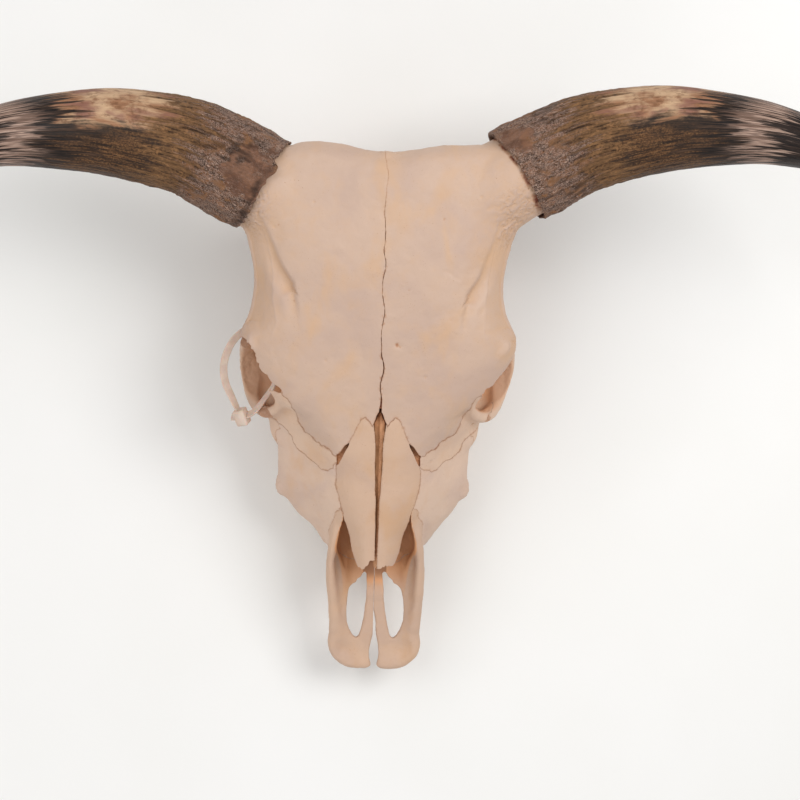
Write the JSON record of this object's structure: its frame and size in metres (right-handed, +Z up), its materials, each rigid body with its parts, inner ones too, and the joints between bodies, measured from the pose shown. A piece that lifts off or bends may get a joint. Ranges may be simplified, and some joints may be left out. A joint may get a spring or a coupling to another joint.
{
  "type": "bull skull",
  "caption": "Cleaned bull skull with its horn sheaths, separate face bones and cheek teeth, lying on its teeth and nape, with a nylon tie looped through one eye socket.",
  "frame": {"origin": "on the surface that the skull rests on, under the middle of its box", "axes": "+X towards the pieces named right, which lie on the right when the skull is seen from above with its nose towards -Y, +Y from the nose to the poll, +Z up from the teeth to the brow"},
  "size_m": [0.8596, 0.5259, 0.389],
  "materials": {
    "bone_brow": "dry cleaned bone, pale peach",
    "bone_base": "dry cleaned bone, warmer in the hollows",
    "bone_cheek": "dry cleaned bone",
    "bone_jaw": "dry cleaned bone with ivory cheek teeth",
    "bone_muzzle": "dry cleaned bone, pale",
    "horn": "flaky horn, brown to black with a pale band",
    "nylon": "off-white moulded nylon"
  },
  "bodies": {
    "root": {"cranium": "bone_base", "frontal_left": "bone_brow", "frontal_right": "bone_brow", "lacrimal_left": "bone_cheek", "lacrimal_right": "bone_cheek", "zygomatic_left": "bone_cheek", "zygomatic_right": "bone_cheek", "maxilla_left": "bone_jaw", "maxilla_right": "bone_jaw", "palatine_left": "bone_base", "palatine_right": "bone_base", "premaxilla_left": "bone_muzzle", "premaxilla_right": "bone_muzzle", "nasal_left": "bone_muzzle", "nasal_right": "bone_muzzle", "horn_sheath_left": "horn", "horn_sheath_right": "horn", "cable_tie": "nylon"}
  },
  "joints": []
}
